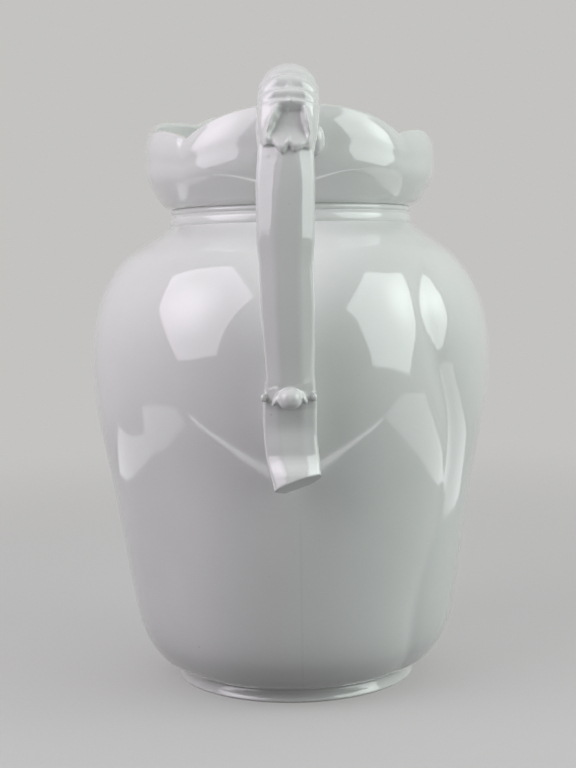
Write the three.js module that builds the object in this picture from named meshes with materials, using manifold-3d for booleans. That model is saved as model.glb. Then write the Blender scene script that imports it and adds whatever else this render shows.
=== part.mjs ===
import * as THREE from 'three';
import { mergeVertices } from 'three/addons/utils/BufferGeometryUtils.js';
import Module from 'manifold-3d';

const wasm = await Module();
wasm.setup();

// An ironstone pitcher, in millimetres, +Z up. It is built round the axis of the pot:
// the handle is at the back, towards -Y, and the spout is at the front, towards +Y.

// Driving sizes of the whole pitcher
const bellyRadius = 102.4;
const footRadius = 61.5;
const collarRadius = 62.2;
const lipRadius = 73;
const footHeight = 6.4;
const bodyHeight = 225.6;
const collarHeight = 8.5;
const backArchRise = 45.5;
const handleRise = 14;
const wall = 5;
const clearance = 0.3;

const shoulderHeight = footHeight + bodyHeight;
const lipFootHeight = shoulderHeight + collarHeight;
const backArchHeight = lipFootHeight + backArchRise;
const pitcherHeight = backArchHeight + handleRise;

// Four broad lobes run down the pot, with a crease between each two
const creaseAngle = 47;
const samplesPerLobe = 14;
const creaseDepthShare = 0.036;

const glaze = { color: 0xe9eae8, roughness: 0.12, metalness: 0 };

// Reads a table of [place, value] rows, easing from one row to the next
function readTable(table, place) {
  const next = table.findIndex((row) => row[0] > place);
  if (next === 0) return table[0][1];
  if (next < 0) return table[table.length - 1][1];
  const [fromPlace, fromValue] = table[next - 1];
  const [toPlace, toValue] = table[next];
  const t = (place - fromPlace) / (toPlace - fromPlace);
  return THREE.MathUtils.lerp(fromValue, toValue, t * t * (3 - 2 * t));
}

// The columns that the lobed pieces are made of. Each knows its angle round the pot, counted
// from the handle, its lobe (0 back, 1 right, 2 front, 3 left) and its place across that lobe,
// from -1 at one crease to 1 at the other.
function lobedColumns() {
  const starts = [-creaseAngle, creaseAngle, 180 - creaseAngle, 180 + creaseAngle];
  const columns = [];
  starts.forEach((start, lobe) => {
    const end = lobe === 3 ? starts[0] + 360 : starts[lobe + 1];
    for (let i = 0; i < samplesPerLobe; i++) {
      const share = i / samplesPerLobe;
      columns.push({ lobe, across: 2 * share - 1, angle: THREE.MathUtils.lerp(start, end, share) });
    }
  });
  return columns;
}

function roundPoint(radius, degrees, height) {
  const angle = THREE.MathUtils.degToRad(degrees);
  return new THREE.Vector3(radius * Math.sin(angle), -radius * Math.cos(angle), height);
}

function plainRing(radius, height) {
  return lobedColumns().map((column) => roundPoint(radius, column.angle, height));
}

// Joins rings of equally many points into one closed skin. The rings run counter-clockwise,
// seen from the far end of the row. The last ring joins the first, or both ends are capped.
function skin(rings, capped) {
  const count = rings[0].length;
  const points = rings.flat();
  const faces = [];
  const strips = capped ? rings.length - 1 : rings.length;
  for (let i = 0; i < strips; i++) {
    const low = i * count;
    const high = ((i + 1) % rings.length) * count;
    for (let j = 0; j < count; j++) {
      const k = (j + 1) % count;
      faces.push(low + j, low + k, high + k, low + j, high + k, high + j);
    }
  }
  if (capped) {
    [rings[0], rings[rings.length - 1]].forEach((ring, end) => {
      const first = end * (rings.length - 1) * count;
      const centre = points.length;
      points.push(ring.reduce((sum, p) => sum.add(p), new THREE.Vector3()).divideScalar(count));
      for (let j = 0; j < count; j++) {
        const pair = [first + j, first + ((j + 1) % count)];
        faces.push(centre, ...(end ? pair : pair.reverse()));
      }
    });
  }
  const geometry = new THREE.BufferGeometry().setFromPoints(points);
  geometry.setIndex(faces);
  return geometry;
}

function solidOf(geometry) {
  const bare = geometry.clone();
  bare.deleteAttribute('normal');
  bare.deleteAttribute('uv');
  const merged = mergeVertices(bare);
  const mesh = new wasm.Mesh({
    numProp: 3,
    vertProperties: new Float32Array(merged.attributes.position.array),
    triVerts: new Uint32Array(merged.index.array),
  });
  mesh.merge();
  return new wasm.Manifold(mesh);
}

function geometryOf(solid) {
  const mesh = solid.getMesh();
  const geometry = new THREE.BufferGeometry();
  geometry.setAttribute('position', new THREE.BufferAttribute(mesh.vertProperties, mesh.numProp));
  geometry.setIndex(new THREE.BufferAttribute(mesh.triVerts, 1));
  return geometry;
}

function carve(geometry, ...cutters) {
  return geometryOf(cutters.reduce((solid, cutter) => solid.subtract(solidOf(cutter)), solidOf(geometry)));
}

function join(...geometries) {
  return geometryOf(geometries.map(solidOf).reduce((whole, solid) => whole.add(solid)));
}

// The half of a round piece on one side of the mould's parting plane, which lies at x = 0
function moulded(geometry, side) {
  const reach = 2 * bellyRadius;
  const half = new THREE.BoxGeometry(reach, 2 * reach, 2 * pitcherHeight);
  half.translate((side * reach) / 2, 0, 0);
  return geometryOf(solidOf(geometry).intersect(solidOf(half)));
}

const pitcher = new THREE.Group();

function place(name, geometry) {
  const shaped = geometry.index ? geometry.toNonIndexed() : geometry;
  shaped.computeVertexNormals();
  const mesh = new THREE.Mesh(shaped, new THREE.MeshStandardMaterial(glaze));
  mesh.name = name;
  pitcher.add(mesh);
}

// Foot ring: the rim that the pot stands on, luted under the base. The flat base disc rests on
// its inner edge, inside the lower edge of the body.
const footLedge = 3;
const footFaceWidth = 5;
const footHollow = 0.9;
const footCreaseShare = 0.015;
const footCurveShares = [
  [0, 0],
  [0.35, 0.12],
  [0.85, 0.3],
  [1, 0.55],
  [0.62, 0.78],
];

const baseThickness = 4.6;
const baseSeat = 3.2;
const footTopRadius = footRadius - footLedge;
const baseRadius = footTopRadius - wall - clearance;
const footInnerRadius = baseRadius - baseSeat;

function footRing() {
  const standRadius = footInnerRadius + (footRadius - footInnerRadius - footFaceWidth) / 2;
  const standEdge = standRadius + footFaceWidth;
  const outside = footCurveShares.map(([out, up]) => [
    THREE.MathUtils.lerp(standEdge, footRadius, out),
    up * footHeight,
  ]);
  const section = [
    [standRadius, 0],
    ...outside,
    [footTopRadius - footHollow, footHeight - footHollow],
    [footTopRadius, footHeight],
    [footInnerRadius, footHeight],
    [footInnerRadius, footHollow],
  ];
  return skin(section.map(([radius, height]) => lobedColumns().map((column) => roundPoint(
    radius * (1 - footCreaseShare * column.across ** 2),
    column.angle,
    height,
  ))), false);
}

// Body: pressed in two halves that meet under the handle and under the spout. Each point of
// its profile is a share of the way out to the belly, from the foot below it and from the
// collar above it, and a share of the body's height.
const lowerProfileShares = [
  [0, 0],
  [0.207, 0.012],
  [0.383, 0.047],
  [0.523, 0.109],
  [0.653, 0.25],
  [0.79, 0.42],
  [0.959, 0.592],
];
const upperProfileShares = [
  [1, 0.716],
  [0.943, 0.8],
  [0.796, 0.87],
  [0.57, 0.926],
  [0.315, 0.961],
  [0.105, 0.986],
  [0, 1],
];
const samplesPerProfilePoint = 2;
const innerRows = 13;
const innerStartShare = 0.1;
const innerEndShare = 0.96;

// The creases swing round the pot as they rise: [share of the body's height, degrees]
const creaseSwingTable = [
  [0, -1],
  [0.16, -3.5],
  [0.44, 7],
  [0.81, -8],
  [1, 0],
];
const creaseFadeShares = [
  [0, 0.8],
  [0.12, 1],
  [0.86, 1],
  [0.99, 0],
];

function profilePoints(shares, innerRadius) {
  return shares.map(([out, up]) => new THREE.Vector2(
    THREE.MathUtils.lerp(innerRadius, bellyRadius, out),
    footHeight + up * bodyHeight,
  ));
}

const bodyProfile = new THREE.SplineCurve([
  ...profilePoints(lowerProfileShares, footTopRadius),
  ...profilePoints(upperProfileShares, collarRadius),
]);

function bodyRing(radius, height) {
  const share = (height - footHeight) / bodyHeight;
  const depth = creaseDepthShare * readTable(creaseFadeShares, share);
  const swing = readTable(creaseSwingTable, share);
  return lobedColumns().map((column) => roundPoint(
    radius * (1 - depth * column.across ** 2),
    column.angle + swing,
    height,
  ));
}

function bodyOutside(grow) {
  const divisions = samplesPerProfilePoint * (bodyProfile.points.length - 1);
  return bodyProfile.getPoints(divisions).map((p) => bodyRing(p.x + grow, p.y));
}

// Neck: the lower edge of the lip section, which stands on the shoulder inside the collar
const collarThickness = 2.7;
const neckRadius = collarRadius - collarThickness - clearance;

function bodyShell() {
  const inside = [];
  for (let row = 0; row < innerRows; row++) {
    const along = THREE.MathUtils.lerp(innerEndShare, innerStartShare, row / (innerRows - 1));
    const at = bodyProfile.getPoint(along);
    const tangent = bodyProfile.getTangent(along);
    inside.push(bodyRing(at.x - wall * tangent.y, at.y + wall * tangent.x));
  }
  return skin([
    ...bodyOutside(0),
    plainRing(neckRadius - wall, shoulderHeight),
    ...inside,
    plainRing(baseRadius + clearance, footHeight + baseThickness),
    plainRing(baseRadius + clearance, footHeight),
  ], false);
}

// Base: the flat disc that closes the bottom
function baseDisc() {
  const disc = new THREE.CylinderGeometry(baseRadius, baseRadius, baseThickness, 4 * samplesPerLobe);
  disc.rotateX(Math.PI / 2);
  disc.translate(0, 0, footHeight + baseThickness / 2);
  return disc;
}

// Collar: the reeded band that hides the joint of the neck and the shoulder
const collarRelief = 1.3;
const collarReedShares = [
  [0, 0],
  [0.05, 0.28],
  [0.45, 0.55],
  [1, 0.68],
  [0.55, 0.78],
  [0.6, 0.92],
  [1.2, 0.99],
];

function collarBand() {
  const bore = neckRadius + clearance;
  const top = collarHeight - clearance;
  const outside = collarReedShares.map(([inward, up]) => [collarRadius - inward * collarRelief, up * top]);
  const section = [[bore, 0], ...outside, [bore, top], [bore, 0]];
  const band = new THREE.LatheGeometry(section.map((p) => new THREE.Vector2(...p)), 4 * samplesPerLobe);
  band.rotateX(Math.PI / 2);
  band.translate(0, 0, shoulderHeight);
  return band;
}

// Lip: the flared neck with its scalloped rim and the spout at the front
const lipLedge = 0.7;
const backDipDepth = 13;
const frontDipRise = 47.3;
const spoutRise = 57.5;
const sideSwell = 3.8;
const spoutReach = 24;
const rimRound = 2;
const lipCreaseShare = 0.02;
const archPower = 2.3;
const swellPower = 2.6;
const spoutPower = 3;

// The lip's profile: [share of the way out from its foot to its widest, share of its height]
const lipProfileShares = [
  [0, 0],
  [0.32, 0.09],
  [0.623, 0.22],
  [0.86, 0.36],
  [1, 0.6],
  [0.913, 0.84],
  [0.76, 1],
];
const lipRows = 8;
const lipProfile = new THREE.SplineCurve(lipProfileShares.map((p) => new THREE.Vector2(...p)));

// How high the rim stands above the lip's foot: an arch at the back, a swell at each side that
// rises forwards, and the spout at the front, with a dip between each two
function rimRise({ lobe, across }) {
  const out = Math.abs(across);
  if (lobe === 0) return backArchRise - backDipDepth * out ** archPower;
  if (lobe === 2) return THREE.MathUtils.lerp(spoutRise, frontDipRise, out ** spoutPower);
  const forward = lobe === 1 ? (1 + across) / 2 : (1 - across) / 2;
  const line = THREE.MathUtils.lerp(backArchRise - backDipDepth, frontDipRise, forward);
  return line + sideSwell * (1 - out ** swellPower);
}

function lipRadiusAt(column, out, up) {
  const spout = column.lobe === 2 ? Math.cos((column.across * Math.PI) / 2) ** 2 : 0;
  const creased = 1 - lipCreaseShare * up ** 2 * column.across ** 2;
  const radius = THREE.MathUtils.lerp(collarRadius - lipLedge, lipRadius, out);
  return radius * creased + spoutReach * spout * up ** 2;
}

function lipOutside(inset) {
  return lipProfile.getPoints(lipRows).map(({ x: out, y: up }) => lobedColumns().map((column) => roundPoint(
    lipRadiusAt(column, out, up) - inset,
    column.angle,
    lipFootHeight + (rimRise(column) - rimRound) * up,
  )));
}

function lipShell() {
  const outside = lipOutside(0);
  const inside = lipOutside(wall);
  const edge = outside[lipRows].map((point, i) => {
    const middle = point.clone().add(inside[lipRows][i]).divideScalar(2);
    return middle.setZ(point.z + rimRound);
  });
  return skin([
    plainRing(neckRadius, shoulderHeight),
    plainRing(neckRadius, lipFootHeight),
    ...outside,
    edge,
    ...inside.reverse(),
    plainRing(neckRadius - wall, shoulderHeight),
  ], false);
}

// The lip as a filled block, grown by the clearance, which cuts the handle's root to fit
function lipCutter() {
  const rings = lipOutside(-clearance);
  const top = rings[lipRows].map((point) => point.clone().setZ(point.z + rimRound + clearance));
  return skin([plainRing(neckRadius, shoulderHeight), ...rings, top], true);
}

// Handle: its centre line, from the lip over the crown and down to the free end of the tail. Each
// point is a share of the way out, a share of the height from the tail's end to the crown, and a
// share of the handle's half width that it leans aside. The crown is counted out from the lip to
// the handle's reach, and the leg below it out from the belly.
const handleStandoff = 16.6;
const tailEndHeight = 112;
const handleHalfWidth = 11.9;
const handleHalfThickness = 7.2;
const leafThickness = 2.6;
const handleReach = bellyRadius + handleStandoff;
const crownHeight = pitcherHeight - leafThickness - handleHalfThickness;
const crownPathShares = [
  [-0.05, 0.85, 0.12],
  [0.11, 0.925, 0.12],
  [0.3, 0.98, 0.12],
  [0.54, 1, 0.12],
  [0.79, 0.975, 0.1],
  [0.95, 0.91, 0.06],
];
const legPathShares = [
  [1.026, 0.82, 0],
  [1.026, 0.7, -0.05],
  [0.922, 0.56, -0.02],
  [0.791, 0.42, 0],
  [0.647, 0.31, -0.04],
  [0.543, 0.22, -0.04],
  [0.477, 0.14, -0.02],
  [0.477, 0.068, 0.06],
  [0.66, 0, 0.16],
];

function handlePathPoints(shares, innerRadius) {
  return shares.map(([out, up, aside]) => new THREE.Vector3(
    aside * handleHalfWidth,
    -THREE.MathUtils.lerp(innerRadius, handleReach, out),
    THREE.MathUtils.lerp(tailEndHeight, crownHeight, up),
  ));
}

const handlePath = new THREE.CatmullRomCurve3([
  ...handlePathPoints(crownPathShares, lipRadius),
  ...handlePathPoints(legPathShares, bellyRadius),
]);

// The handle's section is a flat-faced octagon: [share of the half width, share of the half thickness]
const handleSectionShares = [
  [1, -0.4],
  [1, 0.45],
  [0.44, 1],
  [-0.44, 1],
  [-1, 0.45],
  [-1, -0.4],
  [-0.62, -1],
  [0.62, -1],
];
const handleWidthShares = [
  [0, 1.02],
  [0.34, 0.99],
  [0.45, 1.06],
  [0.52, 1.06],
  [0.6, 0.98],
  [0.77, 0.9],
  [0.84, 0.99],
  [0.93, 0.99],
  [1, 0.9],
];
const handleRowSpacing = 4.8;
const runToleranceShare = 1e-4;
const crownShare = 0.27;
const handleRun = handlePath.getLength();

// How far along the handle, from its start in the lip, its outer leg comes down to a height
function runAtHeight(height) {
  let [above, below] = [crownShare * handleRun, handleRun];
  while (below - above > handleRowSpacing * runToleranceShare) {
    const middle = (above + below) / 2;
    if (handlePath.getPointAt(middle / handleRun).z > height) above = middle;
    else below = middle;
  }
  return above;
}

// A point at a run along the handle, moved sideways and out from its centre line
function handlePoint(run, aside, out) {
  const share = THREE.MathUtils.clamp(run / handleRun, 0, 1);
  const outward = handlePath.getTangentAt(share).cross(new THREE.Vector3(1, 0, 0)).normalize();
  const point = handlePath.getPointAt(share).addScaledVector(outward, out);
  return point.setX(point.x + aside);
}

function handleRing(run, grow) {
  const halfWidth = handleHalfWidth * readTable(handleWidthShares, run / handleRun) + grow;
  return handleSectionShares.map(([aside, out]) => handlePoint(
    run,
    aside * halfWidth,
    out * (handleHalfThickness + grow),
  ));
}

function handleLength(from, to, grow) {
  const rows = Math.ceil((to - from) / handleRowSpacing);
  const rings = [];
  for (let row = 0; row <= rows; row++) {
    rings.push(handleRing(THREE.MathUtils.lerp(from, to, row / rows), grow));
  }
  return skin(rings, true);
}

// The knop's place and height settle where the stem ends and the tail begins
const upperRootLength = 19;
const knopHeight = 155;
const knopBandHeight = 7.6;
const stemEnd = runAtHeight(knopHeight + knopBandHeight / 2);
const tailStart = runAtHeight(knopHeight - knopBandHeight / 2);

// Leaf: a sprigged leaf that caps the handle's crown as a thumb rest and ends in a scallop
const leafHalfWidth = 14;
const leafSkirt = 7;
const leafChannelDepth = 1.6;
const leafScallop = 3;
const leafSetback = 3;
const leafDrop = 27.2;
const leafStart = upperRootLength + leafSetback;
const leafEnd = runAtHeight(crownHeight - leafDrop);
const leafRows = 22;

// Across the leaf: [share of the half width, rise, run of the scalloped end, sink of the channel]
const leafFormShares = [
  [1, -0.8, -0.6, 0],
  [0.92, 0.1, -0.4, 0],
  [0.6, 0.6, 0.1, 0],
  [0.38, 1, 0.8, 0],
  [0.18, 0.85, 1, 1],
  [0, 0.8, 0.5, 1],
  [-0.18, 0.85, 1, 1],
  [-0.38, 1, 0.8, 0],
  [-0.6, 0.6, 0.1, 0],
  [-0.92, 0.1, -0.4, 0],
  [-1, -0.8, -0.6, 0],
];
const leafWidthShares = [
  [0, 0.92],
  [0.35, 0.94],
  [0.55, 1],
  [0.8, 1],
  [1, 0.7],
];
const leafChannelShares = [
  [0.52, 0],
  [0.62, 1],
  [0.92, 1],
  [1, 0.3],
];
const leafRidgeCount = 3;
const leafRidgeHeight = 0.8;

function leafRing(share) {
  const halfWidth = leafHalfWidth * readTable(leafWidthShares, share);
  const channel = leafChannelDepth * readTable(leafChannelShares, share);
  const ridged = Math.max(0, Math.sin(share * 2 * Math.PI)) * leafRidgeHeight;
  const ridge = ridged * Math.sin(share * 4 * leafRidgeCount * Math.PI);
  const run = THREE.MathUtils.lerp(leafStart, leafEnd, share);
  const top = leafFormShares.map(([across, rise, scallop, sink]) => handlePoint(
    run + leafScallop * scallop * share ** 4,
    across * halfWidth,
    handleHalfThickness + rise * (leafThickness + ridge) - sink * channel,
  ));
  const skirt = [1, -1].map((side) => handlePoint(run, side * halfWidth, handleHalfThickness - leafSkirt));
  return [skirt[0], ...top, skirt[1]];
}

function handleLeaf() {
  const rings = [];
  for (let row = 0; row <= leafRows; row++) rings.push(leafRing(row / leafRows));
  return carve(skin(rings, true), handleLength(0, leafEnd + 2 * leafScallop, clearance), lipCutter());
}

// Knop: the boss that covers the joint of the stem and the tail, with a bead on each side
const knopHalfWidth = 8.1;
const knopHalfHeight = 5;
const knopRise = 4.2;
const knopBandRise = 0.7;
const beadRadius = 1.9;
const knopSegments = 16;

function blob(radii, centre) {
  const geometry = new THREE.SphereGeometry(1, knopSegments, knopSegments / 2);
  geometry.scale(radii.x, radii.y, radii.z);
  return geometry.translate(centre.x, centre.y, centre.z);
}

function handleKnop() {
  const middle = runAtHeight(knopHeight);
  const dome = blob(
    new THREE.Vector3(knopHalfWidth, knopRise, knopHalfHeight),
    handlePoint(middle, 0, handleHalfThickness),
  );
  const bead = new THREE.Vector3(beadRadius, beadRadius, beadRadius);
  const beads = [-1, 1].map((side) => blob(bead, handlePoint(
    middle,
    side * (handleHalfWidth - beadRadius / 2),
    handleHalfThickness * 0.5,
  )));
  const band = handleLength(stemEnd, tailStart, knopBandRise);
  const neighbours = [
    handleLength(stemEnd - 2 * knopHalfHeight, stemEnd, clearance),
    handleLength(tailStart, tailStart + 2 * knopHalfHeight, clearance),
  ];
  return carve(join(band, dome, ...beads), ...neighbours);
}

// Tail: the flared free end below the knop, cut off askew
const tailSkewAngle = 19;
const tailUndercutAngle = 40;

function handleTail() {
  const end = handlePoint(handleRun, 0, 0);
  const reach = 4 * handleHalfWidth;
  const cutter = new THREE.BoxGeometry(reach, reach, reach);
  cutter.translate(0, 0, -reach / 2);
  cutter.rotateX(-THREE.MathUtils.degToRad(tailUndercutAngle));
  cutter.rotateY(-THREE.MathUtils.degToRad(tailSkewAngle));
  cutter.translate(end.x, end.y, end.z);
  return carve(handleLength(tailStart, handleRun, 0), cutter);
}

// Roots: the pads of clay that lute the handle to the lip and to the belly
const upperRootHalfWidth = 14.5;
const upperRootFlare = 4;
const rootRows = 4;
const lowerRootHalfWidth = 10;
const lowerRootAboveKnop = 15;
const lowerRootBelowKnop = 31;

function upperRoot() {
  const rings = [];
  for (let row = 0; row <= rootRows; row++) {
    const share = row / rootRows;
    const halfWidth = THREE.MathUtils.lerp(upperRootHalfWidth, handleHalfWidth, share ** 0.5);
    const flare = upperRootFlare * (1 - share) ** 2;
    rings.push(handleSectionShares.map(([aside, out]) => handlePoint(
      upperRootLength * share,
      aside * halfWidth,
      out * (handleHalfThickness + flare),
    )));
  }
  return carve(skin(rings, true), lipCutter());
}

function lowerRoot() {
  const height = lowerRootAboveKnop + lowerRootBelowKnop;
  const middle = knopHeight - lowerRootBelowKnop + height / 2;
  const outer = handlePoint(runAtHeight(middle), 0, 0).y;
  const inner = 2 * wall - bellyRadius;
  const pad = new THREE.BoxGeometry(2 * lowerRootHalfWidth, inner - outer, height);
  pad.translate(0, (inner + outer) / 2, middle);
  const leg = handleLength(crownShare * handleRun, handleRun, clearance);
  const band = handleLength(stemEnd, tailStart, knopBandRise + clearance);
  return carve(pad, skin(bodyOutside(clearance), true), leg, band);
}

const shell = bodyShell();
const lip = lipShell();
place('foot_ring', footRing());
place('base_disc', baseDisc());
place('body_left', moulded(shell, -1));
place('body_right', moulded(shell, 1));
place('collar_band', collarBand());
place('lip_left', moulded(lip, -1));
place('lip_right', moulded(lip, 1));
place('handle_upper_root', upperRoot());
place('handle_stem', handleLength(upperRootLength, stemEnd, 0));
place('handle_leaf', handleLeaf());
place('handle_knop', handleKnop());
place('handle_tail', handleTail());
place('handle_lower_root', lowerRoot());

// The origin is under the middle of the pitcher's outline, on the surface that it stands on
const outline = new THREE.Box3().setFromObject(pitcher).getCenter(new THREE.Vector3());
pitcher.position.set(-outline.x, -outline.y, 0);

export default pitcher;
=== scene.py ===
import bisect
import math

import bmesh
import bpy
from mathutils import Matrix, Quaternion, Vector, noise


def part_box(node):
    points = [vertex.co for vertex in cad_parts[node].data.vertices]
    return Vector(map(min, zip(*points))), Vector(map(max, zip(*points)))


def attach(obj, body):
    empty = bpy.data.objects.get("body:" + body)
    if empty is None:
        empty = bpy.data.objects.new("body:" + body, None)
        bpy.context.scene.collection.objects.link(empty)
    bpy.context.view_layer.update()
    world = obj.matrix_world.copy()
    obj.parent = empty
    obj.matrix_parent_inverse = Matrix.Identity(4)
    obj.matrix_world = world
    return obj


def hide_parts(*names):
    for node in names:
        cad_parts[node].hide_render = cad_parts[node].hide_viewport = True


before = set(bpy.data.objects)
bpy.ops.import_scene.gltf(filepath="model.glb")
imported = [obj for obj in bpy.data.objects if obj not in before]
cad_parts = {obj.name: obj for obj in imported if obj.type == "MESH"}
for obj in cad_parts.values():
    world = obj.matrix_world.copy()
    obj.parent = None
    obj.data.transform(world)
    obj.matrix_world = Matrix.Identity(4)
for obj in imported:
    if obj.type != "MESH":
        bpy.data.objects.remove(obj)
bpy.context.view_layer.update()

# An ironstone pitcher, seen from behind its handle. The handle is towards -Y, the spout
# towards +Y. Round pieces are turned about the pot's axis, which stands a little forward of
# the origin. Sizes are in metres, written as so many mm.
mm = 0.001
axis_y = (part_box("collar_band")[0].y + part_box("collar_band")[1].y) / 2


# Camera: level with the collar, looking slightly down on the back of the pitcher. Its place,
# tilt and lens are those that put the pitcher's outline where the photograph has it.
camera_distance = 700 * mm
camera_height = 209.5 * mm
camera_pitch = 4.85
camera_yaw = 0.119
camera_roll = -1.07
camera_lens = 63.28
camera_sensor = 36

camera = bpy.data.objects.new("camera", bpy.data.cameras.new("camera"))
bpy.context.scene.collection.objects.link(camera)
camera.data.lens = camera_lens
camera.data.sensor_width = camera_sensor
camera.location = (0, axis_y - camera_distance, camera_height)
camera.rotation_mode = "XYZ"
camera.rotation_euler = (math.radians(90 - camera_pitch), 0, math.radians(camera_yaw))
bpy.context.view_layer.update()
turned = camera.rotation_euler.to_quaternion() @ Quaternion((0, 0, 1), math.radians(camera_roll))
camera.rotation_mode = "QUATERNION"
camera.rotation_quaternion = turned
bpy.context.scene.camera = camera
bpy.context.scene.view_settings.view_transform = "Standard"


# Floor and backdrop: one pale grey sweep, matt near the pitcher, where it takes its shadow, and
# plain further out. The room's soft light comes from behind, from above and from the right, and
# is dim in front, which models the pitcher's round sides.
backdrop_colour = (0.55, 0.545, 0.535, 1)
bounce_colour = (0.11, 0.11, 0.11, 1)
floor_radius = 6.0
floor_near = 0.22
floor_far = 0.95
floor_albedo = 0.28
floor_lift = 0.26
front_light = 0.03
back_light, back_span = 0.45, (-0.35, 0.75)
right_light, right_span = 0.71, (0, 1)
above_light, above_span = 0.43, (0.55, 1)


class Amount:
    """A number that changes over a surface, so that sums of it are written as sums."""

    def __init__(self, finish, socket):
        self.finish, self.socket = finish, socket

    def sum(self, operation, first, second):
        return self.finish.node("ShaderNodeMath", {"operation": operation}, {0: first, 1: second})

    def __add__(self, other):
        return self.sum("ADD", self, other)

    def __radd__(self, other):
        return self.sum("ADD", other, self)

    def __sub__(self, other):
        return self.sum("SUBTRACT", self, other)

    def __rsub__(self, other):
        return self.sum("SUBTRACT", other, self)

    def __mul__(self, other):
        return self.sum("MULTIPLY", self, other)

    def __rmul__(self, other):
        return self.sum("MULTIPLY", other, self)


class Finish:
    """The nodes of one material, or of the world."""

    def __init__(self, owner):
        self.owner = owner
        owner.use_nodes = True
        self.nodes = owner.node_tree.nodes
        self.nodes.clear()

    def node(self, kind, settings={}, sockets={}, out=0):
        made = self.nodes.new(kind)
        for name, value in settings.items():
            setattr(made, name, value)
        for name, value in sockets.items():
            if isinstance(value, Amount):
                self.owner.node_tree.links.new(value.socket, made.inputs[name])
            else:
                made.inputs[name].default_value = value
        return Amount(self, made.outputs[out] if made.outputs else None)

    def ease(self, value, start, end):
        """0 before start, 1 after end, and smooth between them."""
        return self.node("ShaderNodeMapRange", {"interpolation_type": "SMOOTHSTEP"},
                         {0: value, 1: start, 2: end, 3: 0.0, 4: 1.0})

    def mixed(self, share, first, second):
        """A colour between two, by a share from 0 to 1."""
        return self.node("ShaderNodeMix", {"data_type": "RGBA"},
                         {0: share, 6: first, 7: second}, out=2)

    def parts(self, vector):
        """The X, Y and Z of a vector."""
        return (self.node("ShaderNodeSeparateXYZ", {}, {0: vector}, out=axis) for axis in "XYZ")


floor_mesh = bmesh.new()
bmesh.ops.create_circle(floor_mesh, cap_ends=True, segments=96, radius=floor_radius)
bmesh.ops.recalc_face_normals(floor_mesh, faces=floor_mesh.faces[:])
floor = bpy.data.objects.new("floor", bpy.data.meshes.new("floor"))
floor_mesh.to_mesh(floor.data)
bpy.context.scene.collection.objects.link(floor)

sweep = Finish(bpy.data.materials.new("pale_sweep"))
place = sweep.node("ShaderNodeTexCoord", out="Object")
away = sweep.node("ShaderNodeVectorMath", {"operation": "LENGTH"}, {0: place}, out="Value")
matt = sweep.node("ShaderNodeBsdfDiffuse", {}, {"Color": (floor_albedo,) * 3 + (1,)})
lift = sweep.node("ShaderNodeEmission", {}, {"Color": backdrop_colour,
                                             "Strength": floor_lift / backdrop_colour[0]})
near = sweep.node("ShaderNodeAddShader", {}, {0: matt, 1: lift})
plain = sweep.node("ShaderNodeEmission", {}, {"Color": backdrop_colour, "Strength": 1.0})
distant = sweep.ease(away, floor_near, floor_far)
seen = sweep.node("ShaderNodeMixShader", {}, {0: distant, 1: near, 2: plain})
bounce = sweep.node("ShaderNodeBsdfDiffuse", {}, {"Color": bounce_colour})
is_diffuse = sweep.node("ShaderNodeLightPath", out="Is Diffuse Ray")
surface = sweep.node("ShaderNodeMixShader", {}, {0: is_diffuse, 1: seen, 2: bounce})
sweep.node("ShaderNodeOutputMaterial", {}, {"Surface": surface})
floor.data.materials.append(sweep.owner)

room = Finish(bpy.data.worlds.new("pale_room"))
bpy.context.scene.world = room.owner
shown = room.node("ShaderNodeLightPath", out="Is Camera Ray")
shown = shown + room.node("ShaderNodeLightPath", out="Is Glossy Ray")
shown = shown + room.node("ShaderNodeLightPath", out="Is Transmission Ray")
sideways, backward, upward = room.parts(room.node("ShaderNodeTexCoord", out="Generated"))
light = front_light + back_light * room.ease(backward, *back_span)
light = light + right_light * room.ease(sideways, *right_span)
light = light + above_light * room.ease(upward, *above_span)
white = room.node("ShaderNodeCombineColor", {}, {0: light, 1: light, 2: light})
colour = room.mixed(shown, white, backdrop_colour)
glow = room.node("ShaderNodeBackground", {}, {"Color": colour, "Strength": 1.0})
room.node("ShaderNodeOutputWorld", {}, {"Surface": glow})


# Softboxes: two large ones of many sides, high to the left and right of the pitcher, each with
# a brighter spot. The left one is a little warmer and pinker, the right one greener. Low panels
# beside the pitcher and a thin strip on the camera's side only show in its glaze.
softbox_distance = 0.80
softbox_centre = Vector((0, axis_y, 200 * mm))
softbox_strength = 2.35
spot_core = 20 * mm
least_facing = 0.3


def pointing(round_, up):
    """A direction, by its angle round from -Y and its angle up."""
    a, e = math.radians(round_), math.radians(up)
    return Vector((math.sin(a) * math.cos(e), -math.cos(a) * math.cos(e), math.sin(e)))


def light_card(name, points, colour, strength, spot=(0, 0, 0), spot_reach=1, spot_gain=0):
    """A flat emitting card between these points, brighter around a spot if it has a gain."""
    made = bmesh.new()
    made.faces.new([made.verts.new(point) for point in points])
    bmesh.ops.triangulate(made, faces=made.faces[:])
    card = bpy.data.objects.new(name, bpy.data.meshes.new(name))
    made.to_mesh(card.data)
    bpy.context.scene.collection.objects.link(card)
    card.visible_camera = False
    cloth = Finish(bpy.data.materials.new(name))
    place = cloth.node("ShaderNodeTexCoord", out="Object")
    away = cloth.node("ShaderNodeVectorMath", {"operation": "DISTANCE"}, {0: place, 1: spot},
                      out="Value")
    brighter = tuple(part * (1 + spot_gain) for part in colour[:3]) + (1,)
    glow = cloth.mixed(cloth.ease(away, spot_core, spot_reach), brighter, colour)
    shine = cloth.node("ShaderNodeEmission", {}, {"Color": glow, "Strength": strength})
    cloth.node("ShaderNodeOutputMaterial", {}, {"Surface": shine})
    card.data.materials.append(cloth.owner)
    return card


def flat_points(directions, centre):
    """Points in these directions (round, up) on a card that faces the pitcher squarely."""
    facing = [max(pointing(*way).dot(pointing(*centre)), least_facing) for way in directions]
    return [softbox_centre + softbox_distance / share * pointing(*way)
            for share, way in zip(facing, directions)]


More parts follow.
